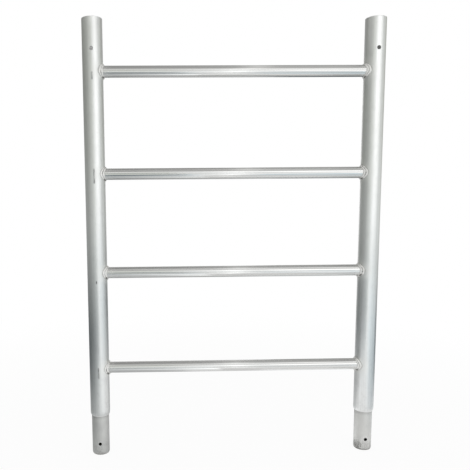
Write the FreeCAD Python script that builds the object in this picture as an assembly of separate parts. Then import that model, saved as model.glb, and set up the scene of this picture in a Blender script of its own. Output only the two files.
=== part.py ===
"""Scaffold frame: two aluminium standards joined by four welded rungs, with a spigot in each foot.

Millimetres. Z is up, X runs along the rungs, the front faces -Y. The origin is on the floor, midway
between the two spigots, so the frame stands on the ends of its spigots.
"""
import math
import os

import FreeCAD, Part
from FreeCAD import Vector

# Rungs: half a pitch is left above and below them, so that the steps stay even from frame to frame
RUNG_COUNT = 4
RUNG_PITCH = 250.0
RUNG_DIAMETER = 28.6
RUNG_WALL = 2.0
FLUTE_COUNT = 12                  # shallow lengthwise flutes round a rung
FLUTE_RADIUS = 2.6
FLUTE_DEPTH = 0.35

# Standards
STANDARD_SPACING = 700.0          # between the two standards' centre lines
STANDARD_DIAMETER = 50.8
STANDARD_WALL = 2.5
RIM_CHAMFER = 0.5                 # broken edges of the top rim
ROLL_HEIGHT = 10.0                # the lower end is rolled in over this height
ROLL_DEPTH = 1.6                  # how far the outside comes in at the very end
LIP_HEIGHT = 4.0                  # tapered inside of the rolled end, which traps the spigot

# Spigots
SOCKET_CLEARANCE = 0.4            # radial play of a spigot in the next frame's socket
SPIGOT_EXPOSED = 105.0            # below the shoulder
SPIGOT_SEATED = 100.0             # inside its own standard
SPIGOT_WALL = 3.0                 # the bore inside takes a castor's or a leg's stem
SPIGOT_CHAMFER = 0.4              # broken edges of that bore
SEAT_STEP = 0.8                   # the seat is this much larger in radius than the socket
LEAD_IN_HEIGHT = 6.0
LEAD_IN_DEPTH = 1.4

# Locking holes: in a stack, the spigot's hole lines up with the one in the socket below it
LOCK_HOLE_OFFSET = 75.0           # below the rim, and below the shoulder
SOCKET_LOCK_HOLE = 10.0
SPIGOT_LOCK_HOLE = 8.5

# Weld beads round the rungs' ends
WELD_LEG = 5.5                    # reach along the rung, and along the standard
WELD_ROUNDING = 4.2               # round of the bead's back

# Working values
CUT_MARGIN = 5.0                  # how far a cutting tool runs past what it cuts
SAME_PLACE = 0.001                # points closer than this lie on the same surface

# Values that follow from the driving dimensions
SIDES = {"left": -1, "right": 1}
STANDARD_RADIUS = STANDARD_DIAMETER / 2
STANDARD_LENGTH = RUNG_COUNT * RUNG_PITCH
SOCKET_RADIUS = STANDARD_RADIUS - STANDARD_WALL
SEAT_RADIUS = SOCKET_RADIUS + SEAT_STEP
SPIGOT_RADIUS = SOCKET_RADIUS - SOCKET_CLEARANCE
SPIGOT_BORE_RADIUS = SPIGOT_RADIUS - SPIGOT_WALL
SHOULDER_Z = SPIGOT_EXPOSED
SEAT_TOP_Z = SHOULDER_Z + SPIGOT_SEATED
RIM_Z = SHOULDER_Z + STANDARD_LENGTH
RUNG_RADIUS = RUNG_DIAMETER / 2
WELD_TOE_RADIUS = RUNG_RADIUS + WELD_LEG


def standard_x(side):
    """Where a side's standard stands on the X axis."""
    return SIDES[side] * STANDARD_SPACING / 2


def rung_z(number):
    """Height of a rung's centre line; rung 1 is the lowest."""
    return SHOULDER_Z + (number - 0.5) * RUNG_PITCH


def tangent_arc(low, high):
    """Arc between two points of a half section that runs straight up where it ends at the high point."""
    rise = high.z - low.z
    run = high.x - low.x
    radius = (rise * rise + run * run) / (2 * run)
    half_turn = math.asin(rise / radius) / 2
    middle = Vector(high.x - radius * (1 - math.cos(half_turn)), 0, high.z - radius * math.sin(half_turn))
    return Part.Arc(low, middle, high).toShape()


def turned(points, arc_after):
    """Solid turned round the Z axis from (radius, height) points; the side after one point is an arc."""
    corners = [Vector(radius, 0, height) for radius, height in points]
    edges = []
    for index, start in enumerate(corners):
        end = corners[(index + 1) % len(corners)]
        if index == arc_after:
            edges.append(tangent_arc(start, end))
        else:
            edges.append(Part.LineSegment(start, end).toShape())
    section = Part.Face(Part.Wire(edges))
    return section.revolve(Vector(0, 0, 0), Vector(0, 0, 1), 360)


def cross_hole(diameter, height):
    """Cutter for a hole right through a tube on the Z axis, drilled from front to back."""
    reach = STANDARD_RADIUS + CUT_MARGIN
    return Part.makeCylinder(diameter / 2, 2 * reach, Vector(0, -reach, height), Vector(0, 1, 0))


def make_standard():
    """Drawn tube with a bored seat for the spigot; its lower end is rolled in to trap the spigot."""
    outline = [
        (SPIGOT_RADIUS, SHOULDER_Z),
        (STANDARD_RADIUS - ROLL_DEPTH, SHOULDER_Z),
        (STANDARD_RADIUS, SHOULDER_Z + ROLL_HEIGHT),
        (STANDARD_RADIUS, RIM_Z - RIM_CHAMFER),
        (STANDARD_RADIUS - RIM_CHAMFER, RIM_Z),
        (SOCKET_RADIUS + RIM_CHAMFER, RIM_Z),
        (SOCKET_RADIUS, RIM_Z - RIM_CHAMFER),
        (SOCKET_RADIUS, SEAT_TOP_Z),
        (SEAT_RADIUS, SEAT_TOP_Z),
        (SEAT_RADIUS, SHOULDER_Z + LIP_HEIGHT),
    ]
    return turned(outline, arc_after=1).cut(cross_hole(SOCKET_LOCK_HOLE, RIM_Z - LOCK_HOLE_OFFSET))


def make_spigot():
    """Turned tube: a seated length, a taper behind the rolled lip, an exposed length, a round lead-in."""
    outline = [
        (SPIGOT_BORE_RADIUS + SPIGOT_CHAMFER, 0),
        (SPIGOT_RADIUS - LEAD_IN_DEPTH, 0),
        (SPIGOT_RADIUS, LEAD_IN_HEIGHT),
        (SPIGOT_RADIUS, SHOULDER_Z),
        (SEAT_RADIUS, SHOULDER_Z + LIP_HEIGHT),
        (SEAT_RADIUS, SEAT_TOP_Z),
        (SPIGOT_BORE_RADIUS + SPIGOT_CHAMFER, SEAT_TOP_Z),
        (SPIGOT_BORE_RADIUS, SEAT_TOP_Z - SPIGOT_CHAMFER),
        (SPIGOT_BORE_RADIUS, SPIGOT_CHAMFER),
    ]
    return turned(outline, arc_after=1).cut(cross_hole(SPIGOT_LOCK_HOLE, SHOULDER_Z - LOCK_HOLE_OFFSET))


def post(side, radius):
    """Upright bar on a standard's centre line, as tall as the weld beads of a rung at height zero need."""
    reach = WELD_TOE_RADIUS + CUT_MARGIN
    return Part.makeCylinder(radius, 2 * reach, Vector(standard_x(side), 0, -reach))


def rung_bar(radius, y=0.0, z=0.0):
    """Round bar along X from one standard's centre line to the other's."""
    start = Vector(-STANDARD_SPACING / 2, y, z)
    return Part.makeCylinder(radius, STANDARD_SPACING, start, Vector(1, 0, 0))


def fluted_bar():
    """Bar of a rung's outside at height zero; the first flute lies on top."""
    offset = RUNG_RADIUS + FLUTE_RADIUS - FLUTE_DEPTH
    turns = [2 * math.pi * index / FLUTE_COUNT for index in range(FLUTE_COUNT)]
    flutes = [rung_bar(FLUTE_RADIUS, offset * math.sin(turn), offset * math.cos(turn)) for turn in turns]
    return rung_bar(RUNG_RADIUS).cut(flutes)


def make_rung():
    """Fluted tube at height zero, its ends cut to sit on the round of the two standards."""
    tube = fluted_bar().cut(rung_bar(RUNG_RADIUS - RUNG_WALL))
    return tube.cut([post(side, STANDARD_RADIUS) for side in SIDES]).Solids[0]


def is_bead_back(edge, back_radius):
    """True for an edge where a bead's drum, round the rung, meets its sleeve, round the standard."""
    point = edge.valueAt((edge.FirstParameter + edge.LastParameter) / 2)
    from_sleeve = math.hypot(point.x - standard_x("right"), point.y) - back_radius
    from_drum = math.hypot(point.y, point.z) - WELD_TOE_RADIUS
    return max(abs(from_sleeve), abs(from_drum)) < SAME_PLACE


def make_weld():
    """Round-backed bead all round the right-hand end of a rung at height zero."""
    back_radius = STANDARD_RADIUS + WELD_LEG
    drum_length = back_radius + CUT_MARGIN
    drum_start = Vector(standard_x("right"), 0, 0)
    drum = Part.makeCylinder(WELD_TOE_RADIUS, drum_length, drum_start, Vector(-1, 0, 0))
    blank = drum.common(post("right", back_radius))
    back_edges = [edge for edge in blank.Edges if is_bead_back(edge, back_radius)]
    blank = blank.makeFillet(WELD_ROUNDING, back_edges)
    return blank.cut([post("right", STANDARD_RADIUS), rung_bar(RUNG_RADIUS)]).Solids[0]


def write(name, shape, place):
    """Write one sub-part's file, with the shape moved to its place."""
    shape.translated(place).exportStep(os.path.join("parts", name + ".step"))


def main():
    os.makedirs("parts", exist_ok=True)
    standard = make_standard()
    spigot = make_spigot()
    for side in SIDES:
        write(side + "_standard", standard, Vector(standard_x(side), 0, 0))
        write(side + "_spigot", spigot, Vector(standard_x(side), 0, 0))
    rung = make_rung()
    weld = make_weld()
    half_turned_weld = weld.rotated(Vector(0, 0, 0), Vector(0, 0, 1), 180)
    for number in range(1, RUNG_COUNT + 1):
        place = Vector(0, 0, rung_z(number))
        write("rung_%d" % number, rung, place)
        write("rung_%d_right_weld" % number, weld, place)
        write("rung_%d_left_weld" % number, half_turned_weld, place)


main()
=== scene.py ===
"""Looks of the scaffold frame: drawn tubes, bright fluted rungs, dull spigots and rippled weld beads."""
import math

import bpy
import numpy as np
from mathutils import Matrix, Vector


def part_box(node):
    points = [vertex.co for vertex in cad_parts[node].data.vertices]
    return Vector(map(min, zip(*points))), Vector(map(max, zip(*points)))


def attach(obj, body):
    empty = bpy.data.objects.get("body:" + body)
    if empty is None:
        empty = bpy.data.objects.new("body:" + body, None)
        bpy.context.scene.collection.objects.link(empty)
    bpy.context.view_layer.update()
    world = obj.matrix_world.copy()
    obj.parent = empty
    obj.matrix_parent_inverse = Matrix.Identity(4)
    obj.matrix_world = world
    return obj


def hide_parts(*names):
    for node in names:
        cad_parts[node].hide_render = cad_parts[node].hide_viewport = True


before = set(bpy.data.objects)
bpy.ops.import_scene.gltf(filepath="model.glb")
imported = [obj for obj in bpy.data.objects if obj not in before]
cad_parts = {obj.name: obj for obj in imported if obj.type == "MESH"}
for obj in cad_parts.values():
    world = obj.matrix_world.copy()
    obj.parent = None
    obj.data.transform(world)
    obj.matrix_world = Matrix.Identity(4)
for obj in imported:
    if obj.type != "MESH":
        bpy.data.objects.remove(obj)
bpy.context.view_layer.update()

SIDES = {"left": -1.0, "right": 1.0}
RUNG_NUMBERS = range(1, 5)


def rung_z(number):
    """Height of a rung's centre line; rung 1 is the lowest."""
    low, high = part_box(f"rung_{number}")
    return (low.z + high.z) / 2


# Sizes that the frame's solids give, in metres
tube_low, tube_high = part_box("right_standard")
HALF_SPACING = (tube_low.x + tube_high.x) / 2
STANDARD_RADIUS = (tube_high.x - tube_low.x) / 2
SHOULDER_Z = tube_low.z
RIM_Z = tube_high.z
RUNG_PITCH = rung_z(2) - rung_z(1)
RUNG_END = HALF_SPACING - STANDARD_RADIUS

# Other sizes of the frame, in metres
RUNG_RADIUS = 0.0143
RUNG_WALL = 0.002
FLUTE_COUNT = 12
FLUTE_STEPS = 24                  # grid steps across a flute and its land
FLUTE_DEPTH = 0.00035
FLUTE_HALF_WIDTH = 0.0020
SPIGOT_RADIUS = 0.0225
LOCK_HOLE_OFFSET = 0.075          # below the rim, and below the shoulder
SOCKET_HOLE_Z = RIM_Z - LOCK_HOLE_OFFSET
SPIGOT_HOLE_Z = SHOULDER_Z - LOCK_HOLE_OFFSET
RUB_MARKS = [(0.975, 0.957), (0.742, 0.707), (0.461, 0.455), (0.236, 0.207)]    # top and bottom of each

# Weld beads, in metres; a leg is longer at the front and the back of a rung than above and below it
LEG_ON_RUNG = 0.0032
LEG_ON_RUNG_BESIDE = 0.0046
LEG_ON_STANDARD = 0.0040
LEG_ON_STANDARD_BESIDE = 0.0058
PASS_SWELL = 0.00100
BEAD_SETTLE = 0.00060
RIPPLE_HEIGHT = 0.00034
PIT_DEPTH = 0.0020
TOE_SUNK = 0.0006                 # how far a bead goes under the two tubes' surfaces
RIPPLES_BY_RUNG = 38.0            # round the pass beside the rung
RIPPLES_BY_STANDARD = 44.0
BEAD_STEPS = 360                  # grid steps round a bead
BEAD_ROWS = 30                    # grid rows from toe to toe
START_TURN = 344.0                # degrees from the top towards the back
STOP_TURNS = {1: 224.0, 2: 224.0, 3: 206.0, 4: 206.0}    # the same, by rung

# Camera: the picture's side, the focal length and the optical axis in pixels, and the place in metres
PICTURE = 470.0
FOCAL_LENGTH = 536.22
AXIS_X = 165.5
AXIS_Y = 258.5
CAMERA_PLACE = (-0.20232, -1.36873, 0.66600)
CAMERA_TILT = (6.2914, -1.1845, -0.5500)    # rotation vector, in degrees

# Rows of the cards that stand round the frame: distance from its middle, height, share of the grey, tint
SIDE_ROWS = [
    (0.12, 0.004, 1.95, (0.98, 0.99, 1.0)),
    (0.60, 0.004, 1.45, (0.96, 0.99, 1.0)),
    (1.10, 0.004, 0.32, (0.82, 0.985, 1.07)),
    (1.80, 0.004, 0.32, (0.84, 0.985, 1.06)),
    (2.40, 0.004, 0.62, (0.94, 0.99, 1.0)),
    (2.40, 0.380, 1.25, (0.965, 1.0, 0.98)),
    (2.40, 0.750, 1.20, (0.975, 1.0, 0.96)),
    (2.40, 1.150, 1.00, (0.970, 1.0, 0.94)),
    (2.40, 1.950, 0.86, (0.965, 1.0, 0.90)),
]
SCREEN_ROWS = [
    (3.20, 0.004, 0.85, (0.95, 0.99, 1.0)),
    (3.20, 0.500, 1.00, (0.98, 1.0, 0.99)),
    (3.20, 2.400, 1.00, (0.98, 1.0, 0.98)),
]
FRONT_MAT_ROWS = [
    (0.50, 0.006, 1.00, (1.0, 1.0, 1.0)),
    (1.05, 0.006, 0.92, (0.93, 1.0, 1.04)),
    (1.60, 0.006, 0.88, (0.78, 1.0, 1.10)),
    (2.40, 0.006, 1.00, (0.93, 1.0, 1.02)),
]
RIGHT_MAT_ROWS = [
    (0.50, 0.006, 0.95, (1.0, 1.0, 1.0)),
    (0.95, 0.006, 0.62, (0.87, 1.0, 1.08)),
    (1.30, 0.006, 0.66, (0.84, 1.0, 1.09)),
    (1.75, 0.006, 0.88, (0.86, 1.0, 1.07)),
    (2.40, 0.006, 0.92, (0.93, 1.0, 1.02)),
]
REAR_MAT_ROWS = [
    (0.12, 0.006, 1.00, (0.98, 1.0, 1.0)),
    (2.40, 0.006, 1.00, (0.98, 1.0, 1.0)),
]
STRIP_ROWS = [
    (0.50, 0.010, 0.90, (1.0, 1.0, 1.0)),
    (2.30, 0.010, 1.00, (0.98, 1.0, 1.0)),
    (2.30, 2.600, 1.00, (1.0, 1.0, 1.0)),
]


class Value:
    """One socket of a shader; arithmetic on it adds Math nodes."""

    def __init__(self, shader, socket):
        self.shader = shader
        self.socket = socket

    def math(self, operation, *values):
        node = self.shader.tree.nodes.new("ShaderNodeMath")
        node.operation = operation
        for place, value in enumerate(values):
            self.shader.feed(node.inputs[place], value)
        return Value(self.shader, node.outputs[0])

    def __add__(self, other):
        return self.math("ADD", self, other)

    def __radd__(self, other):
        return self.math("ADD", other, self)

    def __sub__(self, other):
        return self.math("SUBTRACT", self, other)

    def __rsub__(self, other):
        return self.math("SUBTRACT", other, self)

    def __mul__(self, other):
        return self.math("MULTIPLY", self, other)

    def __rmul__(self, other):
        return self.math("MULTIPLY", other, self)

    def __truediv__(self, other):
        return self.math("DIVIDE", self, other)

    def __rtruediv__(self, other):
        return self.math("DIVIDE", other, self)

    def __neg__(self):
        return self.math("MULTIPLY", self, -1.0)

    def __abs__(self):
        return self.math("ABSOLUTE", self)

    def __lt__(self, other):
        return self.math("LESS_THAN", self, other)

    def __gt__(self, other):
        return self.math("GREATER_THAN", self, other)

    def sqrt(self):
        return self.math("SQRT", self)

    def exp(self):
        return self.math("EXPONENT", self)

    def wrap(self, low, high):
        return self.math("WRAP", self, high, low)

    def least(self, other):
        return self.math("MINIMUM", self, other)

    def most(self, other):
        return self.math("MAXIMUM", self, other)

    def fade(self, start, end):
        """0 at start and 1 at end, with a smooth step between them."""
        return self.shader.add("ShaderNodeMapRange", {"interpolation_type": "SMOOTHSTEP"}, "Result",
                               Value=self, From_Min=start, From_Max=end)

    def bell(self, middle, width):
        """1 at the middle, falling off as a bell of that width."""
        offset = (self - middle) / width
        return (-(offset * offset)).exp()

    def window(self, low, high, soft):
        """1 between low and high, with soft edges."""
        return self.fade(low - soft, low + soft) * (1.0 - self.fade(high - soft, high + soft))


class Shader:
    """Node tree of one material or of the world."""

    def __init__(self, owner):
        owner.use_nodes = True
        self.tree = owner.node_tree
        self.tree.nodes.clear()

    def feed(self, socket, value):
        if isinstance(value, Value):
            self.tree.links.new(value.socket, socket)
        else:
            socket.default_value = value

    def add(self, kind, settings, output, **inputs):
        """Any node: its type, its settings, the output that is wanted, and its sockets' values or links."""
        node = self.tree.nodes.new(kind)
        for name, value in settings.items():
            setattr(node, name, value)
        for name, value in inputs.items():
            sockets = [s for s in node.inputs if s.name == name.replace("_", " ") and s.enabled]
            self.feed(sockets[0], value)
        if output is None:
            return node
        return Value(self, next(s for s in node.outputs if s.name == output and s.enabled))

    def place(self):
        """Object coordinates as a vector and as three numbers."""
        vector = self.add("ShaderNodeTexCoord", {}, "Object")
        split = self.add("ShaderNodeSeparateXYZ", {}, None, Vector=vector)
        return vector, [Value(self, socket) for socket in split.outputs]

    def noise(self, vector, stretch, detail, roughness):
        """Noise on coordinates multiplied by three numbers, 0 to 1 about 0.5."""
        scaled = self.add("ShaderNodeMapping", {}, "Vector", Vector=vector, Scale=stretch)
        return self.add("ShaderNodeTexNoise", {}, "Fac", Vector=scaled, Scale=1.0, Detail=detail,
                        Roughness=roughness)

    def attribute(self, name, output="Fac"):
        """Number or colour that a mesh carries at its points."""
        return self.add("ShaderNodeAttribute", {"attribute_name": name}, output)

    def mix(self, share, first, second):
        """Colour between two colours."""
        return self.add("ShaderNodeMix", {"data_type": "RGBA", "clamp_factor": True}, "Result",
                        Factor=share, A=first, B=second)

    def bump(self, height, distance, strength):
        return self.add("ShaderNodeBump", {}, "Normal", Height=height, Distance=distance, Strength=strength)

    def metal(self, colour, roughness, normal, metallic=1.0):
        """Metal surface, wired to the output."""
        self.show(self.add("ShaderNodeBsdfPrincipled", {}, "BSDF", Base_Color=colour, Roughness=roughness,
                           Metallic=metallic, Normal=normal))

    def blend(self, share, first, second):
        """Surface between two surfaces."""
        node = self.add("ShaderNodeMixShader", {}, None)
        for socket, value in zip(node.inputs, (share, first, second)):
            self.feed(socket, value)
        return Value(self, node.outputs[0])

    def show(self, surface, output="ShaderNodeOutputMaterial"):
        """Wire a finished surface to the output."""
        self.add(output, {}, None, Surface=surface)


def new_shader(name):
    material = bpy.data.materials.new(name)
    return material, Shader(material)


def grey(level, warmth=0.0, green=0.0):
    """Opaque grey, shifted a little towards yellow or green."""
    return (level + warmth * 0.5, level + warmth * 0.3 + green, level - warmth, 1.0)


def drawn_tube():
    """Drawn aluminium: draw lines up the tube, soft blotches, pale heat bands by the welds, rub marks."""
    material, s = new_shader("drawn aluminium tube")
    at, (x, y, z) = s.place()
    across = abs(x) - HALF_SPACING
    up = z - SHOULDER_Z
    streak = s.noise(at, (330.0, 330.0, 2.2), 4.0, 0.6)
    lines = s.noise(at, (1700.0, 1700.0, 9.0), 2.0, 0.6)
    blotch = s.noise(at, (16.0, 16.0, 7.0), 4.0, 0.6)
    speck = s.noise(at, (420.0, 420.0, 160.0), 2.0, 0.7)
    mottle = s.noise(at, (75.0, 75.0, 55.0), 5.0, 0.7).fade(0.48, 0.68)
    worn = s.noise(at, (620.0, 620.0, 45.0), 4.0, 0.65).fade(0.30, 0.62)
    # distance from the middle of the nearest weld, made large on the side that has no rungs
    rise = up.wrap(0.0, RUNG_PITCH) - RUNG_PITCH / 2
    from_weld = (rise * rise + y * y).sqrt() + (across > 0.0)
    heat = (1.0 - from_weld.fade(0.0195, 0.036)) * (0.35 + blotch * 1.1)
    soot_middle = 0.0190 + y * y / (from_weld * from_weld) * 0.0016
    soot = from_weld.bell(soot_middle, 0.0009) * (0.25 + speck * 0.9)
    # rub marks down the front of the left-hand tube, one near each rung
    marks = 0.0
    for top, bottom in RUB_MARKS:
        marks = z.window(bottom, top, 0.003) + marks
    rub = marks * across.bell(0.0, 0.0017) * (x < 0.0) * (y < 0.0) * worn
    # bright ring round the locking hole: partly the bare broken edge, partly a painted highlight on that edge
    above_hole = z - SOCKET_HOLE_Z
    ring = (across * across + above_hole * above_hole).sqrt().bell(0.0058, 0.0007)
    scuffed = (1.0 - up.fade(0.004, 0.055)) * speck.fade(0.45, 0.75)
    bore = (across * across + y * y).sqrt() < STANDARD_RADIUS - 0.0012
    level = s.mix(streak.fade(0.25, 0.75), grey(0.80, 0.0, 0.009), grey(0.90, 0.0, 0.007))
    level = s.mix(blotch.fade(0.35, 0.75) * 0.45, level, grey(0.78, 0.012, 0.006))
    level = s.mix(mottle * (0.30 - up.fade(0.02, 0.25) * 0.16), level, grey(0.60, 0.004, 0.002))
    level = s.mix(heat * 0.55, level, grey(0.93, 0.02))
    level = s.mix((soot * 0.55).least(0.8), level, grey(0.30, 0.02))
    level = s.mix(scuffed * 0.30, level, grey(0.60))
    # partly painted highlight: the bright ring round the locking hole
    level = s.mix(ring * 0.6, level, grey(0.96))
    level = s.mix((rub * 1.1).least(0.95), level, grey(0.10, -0.006))
    level = s.mix(bore * 0.8, level, grey(0.84, 0.004, 0.002))
    rough = 0.30 + streak * 0.10 + (blotch - 0.5) * 0.16
    rough = rough + heat * 0.16 + soot * 0.15 + rub * 0.3 + scuffed * 0.12 + bore * 0.25
    height = lines * 0.5 + streak * 0.8 + speck * 0.25 - rub * 1.5
    s.metal(level, rough, s.bump(height, 0.00006, 0.5), 1.0 - bore * 0.6)
    return material


def fluted_tube():
    """Bright drawn aluminium: fine lines along the rung, dirt in the flutes, worn treads, heated ends."""
    material, s = new_shader("bright fluted tube")
    at, (x, _, z) = s.place()
    flute = s.attribute("flute")
    rise = (z - SHOULDER_Z).wrap(0.0, RUNG_PITCH) - RUNG_PITCH / 2
    streak = s.noise(at, (1.6, 420.0, 420.0), 3.0, 0.5)
    lines = s.noise(at, (6.0, 2200.0, 2200.0), 2.0, 0.5)
    blotch = s.noise(at, (9.0, 40.0, 40.0), 4.0, 0.6)
    speck = s.noise(at, (60.0, 420.0, 420.0), 3.0, 0.6)
    tread = (rise / RUNG_RADIUS).fade(0.60, 0.96) * speck.fade(0.35, 0.80)
    end = abs(x).fade(RUNG_END - 0.0246, RUNG_END - 0.0046) * (0.4 + blotch)
    level = s.mix(streak.fade(0.25, 0.75), grey(0.73, 0.006, 0.002), grey(0.79, 0.006, 0.001))
    level = s.mix(flute * (0.30 + blotch * 0.40), level, grey(0.44, 0.008, 0.004))
    level = s.mix(tread * 0.28, level, grey(0.56, 0.008))
    level = s.mix(end * 0.35, level, grey(0.82, 0.014))
    rough = 0.10 + streak * 0.05 + (blotch - 0.5) * 0.06 + flute * 0.05 + tread * 0.16 + end * 0.14
    s.metal(level, rough, s.bump(lines * 0.6 + streak * 0.6, 0.00003, 0.35))
    return material


def dull_spigot():
    """Dull turned aluminium: rings from turning, scrapes from the sockets, knocks at the end, painted shade
    just below the standard's end, and a bore painted almost black as painted shade.
    """
    material, s = new_shader("dull turned tube")
    at, (x, y, z) = s.place()
    across = abs(x) - HALF_SPACING
    rings = s.noise(at, (3.0, 3.0, 2300.0), 2.0, 0.6)
    blotch = s.noise(at, (34.0, 34.0, 20.0), 4.0, 0.6)
    speck = s.noise(at, (640.0, 640.0, 460.0), 6.0, 0.8)
    scrape = s.noise(at, (760.0, 760.0, 26.0), 3.0, 0.65)
    patch = s.noise(at, (90.0, 90.0, 60.0), 3.0, 0.6)
    # knocks near the lower end, most of them on the inner side of the right-hand spigot
    low = 1.0 - z.fade(0.006, 0.046)
    inner = 1.0 - across.fade(-0.016, -0.004)
    battered = (x > 0.0) * inner * patch.fade(0.30, 0.55) * (1.0 - z.fade(0.010, 0.030))
    knock = low * speck.fade(0.45, 0.60) * (patch.fade(0.40, 0.66) * 0.6 + battered * 2.2)
    edge = (1.0 - z.fade(0.001, 0.008)) * scrape.fade(0.38, 0.62)
    # painted shade: a dark band just below the shoulder, where the standard's end shades the spigot
    under = (z - SHOULDER_Z).fade(-0.0115, -0.0005)
    # painted shade: the spigot's bore, seen through the locking hole, is painted almost black
    bore = ((across * across + y * y).sqrt() < SPIGOT_RADIUS - 0.0004) * (z > 0.002)
    above_hole = z - SPIGOT_HOLE_Z
    from_hole = (across * across + above_hole * above_hole).sqrt()
    # bright ring round the locking hole: partly the bare broken edge, partly a painted highlight on that edge
    ring = from_hole.bell(0.0052, 0.0008)
    scratched = from_hole.bell(0.0085, 0.0034) * scrape.fade(0.50, 0.62)
    scraped = scrape.fade(0.52, 0.72) * (0.4 + low * 0.6)
    level = s.mix(blotch.fade(0.3, 0.7), grey(0.66, 0.012, 0.001), grey(0.76, 0.014, 0.001))
    level = s.mix(scraped * 0.45, level, grey(0.80, 0.004))
    level = s.mix((knock * 1.2).least(0.95), level, grey(0.22, 0.008))
    level = s.mix(edge * 0.60, level, grey(0.28, 0.008))
    # painted shade below the shoulder
    level = s.mix(under * 0.32, level, grey(0.36, 0.006))
    level = s.mix(scratched * 0.55, level, grey(0.88))
    # partly painted highlight: the bright ring round the locking hole
    level = s.mix(ring * 0.25, level, grey(0.82))
    # painted shade: the bore almost black
    level = s.mix(bore, level, grey(0.012, 0.002))
    rough = 0.54 + (blotch - 0.5) * 0.16 - scraped * 0.12 + knock * 0.14 + under * 0.08
    height = rings * 0.5 + scrape * 0.5 + speck * 0.3 - knock * 2.2 - edge * 1.6
    s.metal(level, rough, s.bump(height, 0.00009, 0.55))
    return material


def weld_metal():
    """Weld metal: frosty ripples, darker valleys, black oxide between the passes, at the toes and in pits."""
    material, s = new_shader("rippled weld metal")
    at, _ = s.place()
    valley = s.attribute("valley")
    oxide = s.attribute("oxide")
    blotch = s.noise(at, (170.0, 170.0, 170.0), 3.0, 0.6)
    grain = s.noise(at, (1500.0, 1500.0, 1500.0), 2.0, 0.6)
    level = s.mix(blotch.fade(0.3, 0.7), grey(0.86, 0.016), grey(0.96, 0.020))
    level = s.mix(valley * 0.55, level, grey(0.50, 0.018))
    level = s.mix((oxide * (0.7 + blotch * 0.6)).least(0.95), level, grey(0.08, 0.008))
    rough = 0.28 + blotch * 0.16 + valley * 0.16 + oxide * 0.22
    s.metal(level, rough, s.bump(grain * 0.6 + blotch * 0.4, 0.00008, 0.45), 0.42 - oxide * 0.3)
    return material


def put(name, data):
    """New object in the scene, at the origin."""
    thing = bpy.data.objects.new(name, data)
    bpy.context.scene.collection.objects.link(thing)
    return thing


def grid_object(name, points, closed, material):
    """Object whose mesh spans a grid of points; a closed grid joins up in both directions."""
    rows, columns = points.shape[:2]
    index = np.arange(rows * columns).reshape(rows, columns)
    if closed:
        index = np.pad(index, ((0, 1), (0, 1)), mode="wrap")
    corners = [index[:-1, :-1], index[:-1, 1:], index[1:, 1:], index[1:, :-1]]
    faces = np.stack(corners, axis=-1).reshape(-1, 4)
    mesh = bpy.data.meshes.new(name)
    mesh.from_pydata(points.reshape(-1, 3).tolist(), [], faces.tolist())
    mesh.materials.append(material)
    return put(name, mesh)


def smooth_piece(name, points, material, layers):
    """Closed, smoothly shaded piece of the frame, with one attribute for each layer of numbers."""
    piece = grid_object(name, points, True, material)
    mesh = piece.data
    for layer, values in layers.items():
        attribute = mesh.attributes.new(layer, "FLOAT", "POINT")
        attribute.data.foreach_set("value", values.ravel().astype(np.float32))
    mesh.polygons.foreach_set("use_smooth", np.ones(len(mesh.polygons), bool))
    mesh.update()
    return piece


def whole_turn(steps):
    """Angles once round, as a column."""
    return (np.arange(steps) / steps * 2.0 * np.pi)[:, None]


def wander(turn, rng, waves, size):
    """Smooth wavering round a ring: a sum of sines of whole turns, with drawn phases and falling heights."""
    counts = np.arange(1, waves + 1)
    phases = rng.uniform(0.0, 2.0 * np.pi, waves)
    heights = rng.uniform(0.4, 1.0, waves) / np.sqrt(counts)
    return size * (heights * np.sin(turn[..., None] * counts + phases)).sum(-1)


def bell(value, middle, width):
    """1 at the middle, falling off as a bell of that width."""
    return np.exp(-((value - middle) / width) ** 2)


def fluted_rung(name, height, material):
    """Fluted tube between the two standards.

    One parameter is the turn round the rung, from its top towards the back; the other runs along the outside
    from the left-hand end to the right-hand one and back along the bore. The outside radius is the rung's,
    less the flutes: the square of a cosine across each flute's width. Every line along the tube ends where
    the standard's round side lies at that depth, so both ends sit on the standards.
    """
    turn = whole_turn(FLUTE_COUNT * FLUTE_STEPS)
    flute_pitch = 2.0 * np.pi * RUNG_RADIUS / FLUTE_COUNT
    off_flute = ((turn * FLUTE_COUNT / (2.0 * np.pi) + 0.5) % 1.0 - 0.5) * flute_pitch
    flute = np.cos(np.clip(off_flute / FLUTE_HALF_WIDTH, -1.0, 1.0) * np.pi / 2.0) ** 2
    outside = np.concatenate([[-1.0], np.linspace(-0.998, 0.998, 41), [1.0]])
    bore = np.array([1.0, 0.998, -0.998, -1.0])
    along = np.concatenate([outside, bore])[None, :]
    on_outside = np.concatenate([np.ones(len(outside)), np.zeros(len(bore))])[None, :]
    radius = RUNG_RADIUS - FLUTE_DEPTH * flute * on_outside - RUNG_WALL * (1.0 - on_outside)
    y = radius * np.sin(turn)
    x = along * (HALF_SPACING - np.sqrt(STANDARD_RADIUS ** 2 - y ** 2))
    z = height + radius * np.cos(turn)
    return smooth_piece(name, np.stack([x, y, z], axis=-1), material, {"flute": flute * on_outside})


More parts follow.
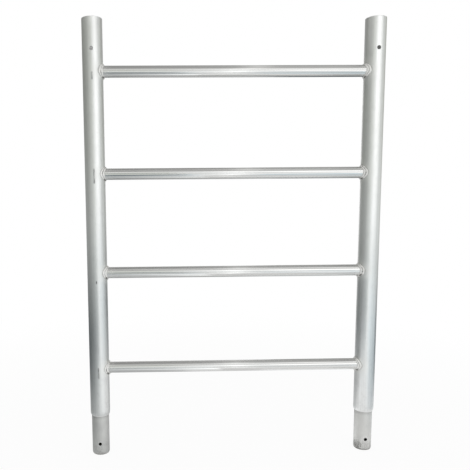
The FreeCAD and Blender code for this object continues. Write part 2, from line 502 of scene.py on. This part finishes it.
def weld_bead(name, side, height, stop, seed, material):
    """Two-pass bead round a rung's end.

    One parameter is the turn round the rung, from its top towards the back; the other runs from the toe on
    the rung over the bead to the toe on the standard. The reach along each tube is a leg that wavers and is
    longer at the front and the back, where the standard's side falls away, by the square of a sine; the back
    is a quarter of a rounded square, raised into two passes by the size of a sine, and each pass has
    ripples: the size of a sine of the turn, bent forward in the middle of the pass, and uneven lumps. A pit
    sinks the bead where the weld was stopped, and a smaller one where it was started. The last row closes
    the bead under the two tubes' surfaces.
    """
    rng = np.random.default_rng(seed)
    turn = whole_turn(BEAD_STEPS)
    along = np.linspace(0.0, 1.0, BEAD_ROWS)[None, :]
    beside = np.sin(turn) ** 2
    leg_rung = LEG_ON_RUNG + (LEG_ON_RUNG_BESIDE - LEG_ON_RUNG) * beside
    leg_rung = leg_rung * (1.0 + wander(turn, rng, 7, 0.09))
    leg_post = LEG_ON_STANDARD + (LEG_ON_STANDARD_BESIDE - LEG_ON_STANDARD) * beside
    leg_post = leg_post * (1.0 + wander(turn, rng, 7, 0.09))

    # the two passes, 0 to 1 across each, with their ripples and lumps
    parting = 0.52 + wander(turn, rng, 4, 0.035)
    by_rung = along < parting
    in_pass = np.where(by_rung, along / parting, (along - parting) / (1.0 - parting))
    swell = np.sin(np.pi * np.clip(in_pass, 0.0, 1.0)) ** 0.7
    count = np.where(by_rung, RIPPLES_BY_RUNG, RIPPLES_BY_STANDARD)
    bend = 1.7 * (1.0 - (2.0 * in_pass - 1.0) ** 2)
    ripple = np.abs(np.sin(0.5 * (count * turn + bend) + wander(turn, rng, 9, 0.10)))
    lumps = np.where(by_rung, wander(turn, rng, 14, 0.5), wander(turn, rng, 14, 0.5))

    # the pits, and how far the bead's back stands above the plain rounded square
    stop_turn = np.radians(stop + rng.uniform(-7.0, 7.0))
    start_turn = np.radians(START_TURN + rng.uniform(-8.0, 8.0))
    pit = bell(turn, stop_turn, 0.20) * bell(along, 0.58, 0.28)
    pit = pit + 0.5 * bell(turn, start_turn, 0.09) * bell(along, 0.62, 0.16)
    ripples = RIPPLE_HEIGHT * swell * (ripple - 0.55 + lumps)
    lift = PASS_SWELL * swell - BEAD_SETTLE + ripples - PIT_DEPTH * pit
    lift = lift * np.minimum(1.0, np.minimum(along, 1.0 - along) * 12.0)

    # the section in its place; the toes go a little under the tubes, and one more row closes the bead
    quarter = along * np.pi / 2.0
    reach = leg_rung * np.cos(quarter) ** 1.15 + lift * np.cos(quarter) - TOE_SUNK * (along == 1.0)
    radial = leg_post * np.sin(quarter) ** 1.15 + lift * np.sin(quarter) - TOE_SUNK * (along == 0.0)
    closing = np.full_like(turn, -TOE_SUNK)
    reach = np.concatenate([reach, closing], axis=1)
    radius = RUNG_RADIUS + np.concatenate([radial, closing], axis=1)
    y = radius * np.sin(turn)
    x = side * (HALF_SPACING - np.sqrt(STANDARD_RADIUS ** 2 - y ** 2) - reach)
    z = height + radius * np.cos(turn)

    # dirt that the material reads
    groove = bell(along, parting, 0.07)
    toes = bell(along, 0.0, 0.08) + bell(along, 1.0, 0.06)
    spots = np.clip(wander(turn, rng, 24, 0.35), 0.0, 1.0)
    oxide = np.clip(1.2 * groove * (0.42 + spots) + 0.8 * toes * (0.30 + spots) + 1.7 * pit, 0.0, 1.0)
    valley = np.clip(1.0 - 1.6 * ripple, 0.0, 1.0) * swell
    clean = np.zeros_like(turn)
    sheets = [np.stack([x, y, z], axis=-1)]
    sheets += [np.concatenate([dirt, clean], axis=1) for dirt in (valley, oxide)]
    if side < 0:
        # the left-hand end is a mirror image, so its rows run the other way to keep the faces outwards
        sheets = [sheet[:, ::-1] for sheet in sheets]
    points, valley, oxide = sheets
    return smooth_piece(name, points, material, {"valley": valley, "oxide": oxide})


def dress(node, material):
    """Give one of the frame's own solids its finish."""
    node.data.materials.clear()
    node.data.materials.append(material)


def dress_tubes():
    """Finish the standards and the spigots."""
    tube_metal = drawn_tube()
    spigot_metal = dull_spigot()
    for side in SIDES:
        dress(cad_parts[side + "_standard"], tube_metal)
        dress(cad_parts[side + "_spigot"], spigot_metal)


def make_rungs():
    """The rungs with their flutes, and the weld beads round their ends."""
    rung_metal = fluted_tube()
    bead_metal = weld_metal()
    for number in RUNG_NUMBERS:
        height = rung_z(number)
        rung = fluted_rung(f"rung_{number}_tube", height, rung_metal)
        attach(rung, "root")
        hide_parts(f"rung_{number}")
        for place, (side, sign) in enumerate(SIDES.items()):
            seed = 10 * number + place
            bead = weld_bead(f"rung_{number}_{side}_bead", sign, height, STOP_TURNS[number], seed, bead_metal)
            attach(bead, "root")
            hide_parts(f"rung_{number}_{side}_weld")


def studio_floor():
    """Large pale floor: near the frame it takes the shadow, farther out it fades into the white room."""
    material, s = new_shader("pale studio floor")
    at, (x, y, _) = s.place()
    far = (x * x + y * y).sqrt().fade(0.55, 1.9)
    seen = s.add("ShaderNodeLightPath", {}, "Is Camera Ray")
    mirrored = s.add("ShaderNodeLightPath", {}, "Is Glossy Ray")
    passed = s.add("ShaderNodeLightPath", {}, "Is Transmission Ray")
    tone = s.noise(at, (3.0, 3.0, 3.0), 2.0, 0.5)
    matt = s.add("ShaderNodeBsdfDiffuse", {}, "BSDF", Color=s.mix(tone, grey(0.90), grey(0.93)))
    white = s.add("ShaderNodeEmission", {}, "Emission", Color=grey(1.0), Strength=1.0)
    s.show(s.blend(seen * (0.92 + far * 0.08) + mirrored.most(passed) * 0.45, matt, white))
    reach = np.array([-9.0, 9.0])
    points = np.stack(np.meshgrid(reach, reach, [0.0]), axis=-1).reshape(2, 2, 3)
    grid_object("floor", points, False, material)


def room():
    """White room to the camera and in the metal; a little less light falls from it."""
    world = bpy.data.worlds.new("studio")
    bpy.context.scene.world = world
    s = Shader(world)
    seen = s.add("ShaderNodeLightPath", {}, "Is Camera Ray")
    mirrored = s.add("ShaderNodeLightPath", {}, "Is Glossy Ray")
    passed = s.add("ShaderNodeLightPath", {}, "Is Transmission Ray")
    soft = s.add("ShaderNodeBackground", {}, "Background", Color=grey(1.0), Strength=0.78)
    white = s.add("ShaderNodeBackground", {}, "Background", Color=grey(1.0), Strength=1.0)
    s.show(s.blend(seen.most(mirrored).most(passed), soft, white), "ShaderNodeOutputWorld")


def aimed_lamp(name, kind, place, aim, power):
    """Lamp at a place, facing a point."""
    data = bpy.data.lights.new(name, kind)
    data.energy = power
    lamp = put(name, data)
    lamp.location = place
    lamp.rotation_mode = "QUATERNION"
    lamp.rotation_quaternion = (Vector(aim) - Vector(place)).to_track_quat("-Z", "Y")
    return lamp


def soft_box():
    """Large studio lamp, in front and to the right."""
    lamp = aimed_lamp("key", "AREA", (1.35, -1.86, 1.35), (0.0, 0.0, 0.80), 5.0)
    lamp.visible_camera = False
    lamp.data.shape = "RECTANGLE"
    lamp.data.size = 2.2
    lamp.data.size_y = 1.9


def mouth_lamp():
    """Narrow lamp, high in front, that looks into the open top of the left-hand standard."""
    mouth = (-HALF_SPACING, 0.0, RIM_Z)
    lamp = aimed_lamp("mouth lamp", "SPOT", (-HALF_SPACING, -0.88, 2.57), mouth, 55.0)
    lamp.data.spot_size = math.radians(1.9)
    lamp.data.spot_blend = 0.4
    lamp.data.shadow_soft_size = 0.01


def grey_card(name, points, tones, tint):
    """Card out of the picture, seen only in the metal: a grid of points, each with its own tinted grey."""
    material, s = new_shader(name)
    s.show(s.add("ShaderNodeEmission", {}, "Emission", Color=s.attribute("tone", "Color"), Strength=1.0))
    card = grid_object(name, points, False, material)
    colours = np.ones((*tones.shape, 4), np.float32)
    colours[..., :3] = tones[..., None] * np.array(tint)
    card.data.attributes.new("tone", "FLOAT_COLOR", "POINT").data.foreach_set("color", colours.ravel())
    card.visible_camera = False
    card.visible_shadow = False
    card.visible_diffuse = False


def wall_card(name, tones, rows):
    """Arc of card round the frame.

    One parameter is the bearing, in degrees to the right of the front; the other follows the given rows, out
    along the floor or up. The grey is given at some bearings, and runs straight from one to the next.
    """
    bearings = sorted(tones)
    bearing = np.linspace(bearings[0], bearings[-1], 61)
    tone = np.interp(bearing, bearings, [tones[key] for key in bearings])
    out, height, share, tint = (np.array(column) for column in zip(*rows))
    turn = np.radians(bearing)[:, None]
    points = np.stack([out * np.sin(turn), -out * np.cos(turn), height + 0.0 * turn], axis=-1)
    grey_card(name, points, tone[:, None] * share, tint)


def canopy_card(name, radius, tones, stripes):
    """Cover over the frame: an arc from above the camera to partly down behind, carried along X.

    The grey is given at some angles of the arc, from the front; the stripes multiply it at some places on X.
    """
    rise = np.linspace(min(tones), max(tones), 41)
    tone = np.interp(rise, list(tones), list(tones.values()))[:, None]
    turn = np.radians(rise)[:, None]
    x = np.array(list(stripes))
    arc = [x + 0.0 * turn, -radius * np.cos(turn) + 0.0 * x, radius * np.sin(turn) + 0.0 * x]
    grey_card(name, np.stack(arc, axis=-1), tone * np.array(list(stripes.values())), (1.0, 1.0, 0.99))


def set_cards():
    """What the metal shows: grey sides, pale mats on the floor, a bright strip in front and a cover above."""
    left = {-1.0: 0.80, -22.0: 0.66, -45.0: 0.49, -62.0: 0.39, -90.0: 0.29, -165.0: 0.30}
    wall_card("left card", left, SIDE_ROWS)
    wall_card("right card", {92.0: 0.72, 112.0: 0.50, 140.0: 0.36, 165.0: 0.34}, SIDE_ROWS)
    wall_card("right screen", {38.0: 1.0, 52.0: 0.80, 70.0: 0.72, 95.0: 0.70}, SCREEN_ROWS)
    wall_card("front mat", {-1.0: 0.87, 24.0: 0.89, 47.0: 1.0}, FRONT_MAT_ROWS)
    wall_card("right mat", {47.0: 0.87, 92.0: 0.82}, RIGHT_MAT_ROWS)
    wall_card("rear mat", {160.0: 0.50, 200.0: 0.50}, REAR_MAT_ROWS)
    wall_card("pale strip", {1.0: 0.98, 7.6: 1.15, 9.0: 1.90, 10.4: 1.15, 15.0: 0.98}, STRIP_ROWS)
    stripes = {-3.0: 1.0, -0.4: 1.0, 0.24: 1.25, 0.34: 2.2, 0.44: 1.35, 0.8: 1.4, 1.4: 1.15, 3.0: 1.0}
    canopy_card("canopy", 2.5, {52.0: 0.62, 70.0: 0.44, 95.0: 0.36, 145.0: 0.33}, stripes)


def photo_camera():
    """Camera in front of the frame, left of its middle, a little above half height, tipped down slightly."""
    tilt = Vector(CAMERA_TILT)
    turn = Matrix.Rotation(math.radians(tilt.length), 3, tilt.normalized())
    level = Matrix(((1.0, 0.0, 0.0), (0.0, 0.0, -1.0), (0.0, 1.0, 0.0)))
    rows = turn @ level
    axes = Matrix((rows[0], -rows[1], -rows[2])).transposed()
    lens = bpy.data.cameras.new("camera")
    lens.sensor_width = 36.0
    lens.lens = FOCAL_LENGTH / PICTURE * lens.sensor_width
    lens.shift_x = 0.5 - AXIS_X / PICTURE
    lens.shift_y = AXIS_Y / PICTURE - 0.5
    camera = put("camera", lens)
    camera.matrix_world = Matrix.Translation(CAMERA_PLACE) @ axes.to_4x4()
    bpy.context.scene.camera = camera


dress_tubes()
make_rungs()
studio_floor()
room()
soft_box()
mouth_lamp()
set_cards()
photo_camera()
bpy.context.scene.view_settings.view_transform = "Standard"
